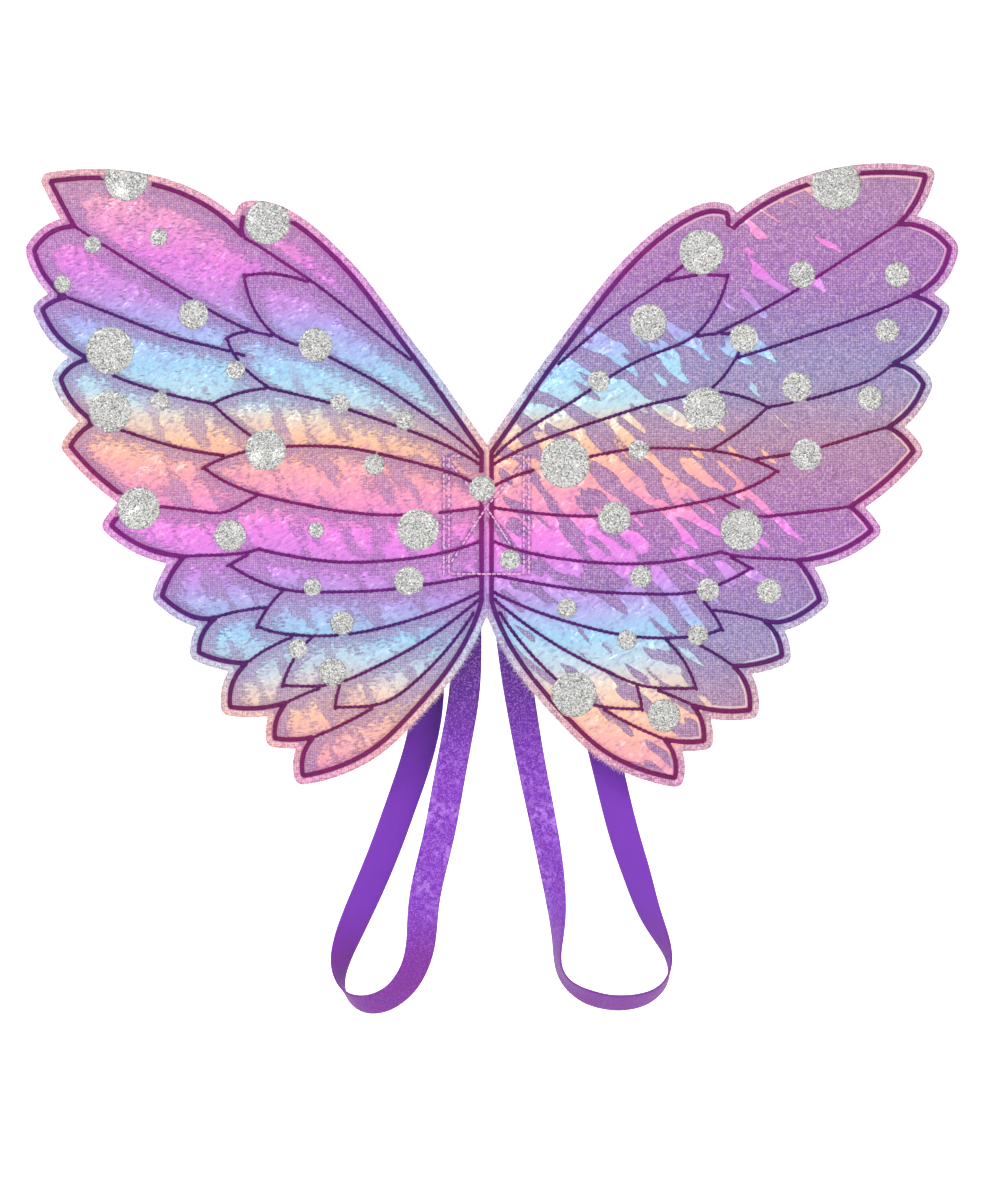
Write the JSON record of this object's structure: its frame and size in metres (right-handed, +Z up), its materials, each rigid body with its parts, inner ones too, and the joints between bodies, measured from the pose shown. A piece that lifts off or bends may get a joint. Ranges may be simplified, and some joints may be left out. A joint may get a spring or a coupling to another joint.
{
  "type": "fairy wings",
  "caption": "Quilted butterfly fairy wings for a child, foil fabric over foam with satin-stitched feathers, glitter dots, a sewn back patch and elastic arm loops.",
  "frame": {"origin": "centre of the back patch, on the face that rests on the wearer's back", "axes": "+Y toward the wearer, +Z up, +X to the wearer's right hand, which is to the right when the decorated side is looked at"},
  "size_m": [0.4668, 0.0388, 0.4291],
  "materials": {
    "foil_fabric": "iridescent foil print on woven cloth",
    "foam": "soft foam interlining",
    "backing": "plain woven cloth",
    "glitter": "silver glitter set in clear binder",
    "outline_thread": "satin embroidery thread",
    "feather_thread": "embroidery thread",
    "pale_thread": "sewing thread",
    "patch_felt": "soft felt",
    "elastic": "glitter-coated elastic tape, plain on its back"
  },
  "bodies": {
    "centre_panel": {"centre_front_cover": "foil_fabric", "centre_foam_interlining": "foam", "centre_backing_cloth": "backing", "centre_glitter_dots": "glitter", "centre_outline_stitching": "outline_thread", "centre_feather_stitching": "feather_thread", "patch_box_stitching": "pale_thread", "back_patch": "patch_felt", "strap_ends": "elastic"},
    "left_wing": {"left_front_cover": "foil_fabric", "left_foam_interlining": "foam", "left_backing_cloth": "backing", "left_glitter_dots": "glitter", "left_outline_stitching": "outline_thread", "left_feather_stitching": "feather_thread"},
    "right_wing": {"right_front_cover": "foil_fabric", "right_foam_interlining": "foam", "right_backing_cloth": "backing", "right_glitter_dots": "glitter", "right_outline_stitching": "outline_thread", "right_feather_stitching": "feather_thread"},
    "left_strap": {"left_strap": "elastic"},
    "right_strap": {"right_strap": "elastic"}
  },
  "joints": [
    {"name": "left_wing_fold", "type": "hinge", "parent": "centre_panel", "child": "left_wing", "pos_m": [-0.024, -0.0068, 0], "axis": [0, 0, 1], "range_deg": [-10, 80]},
    {"name": "right_wing_fold", "type": "hinge", "parent": "centre_panel", "child": "right_wing", "pos_m": [0.024, -0.0068, 0], "axis": [0, 0, -1], "range_deg": [-10, 80]},
    {"name": "left_strap_swing", "type": "hinge", "parent": "centre_panel", "child": "left_strap", "pos_m": [-0.0024, -0.00205, 0], "axis": [0, 0, -1], "range_deg": [0, 45]},
    {"name": "right_strap_swing", "type": "hinge", "parent": "centre_panel", "child": "right_strap", "pos_m": [0.0024, -0.00205, 0], "axis": [0, 0, 1], "range_deg": [0, 45]}
  ]
}
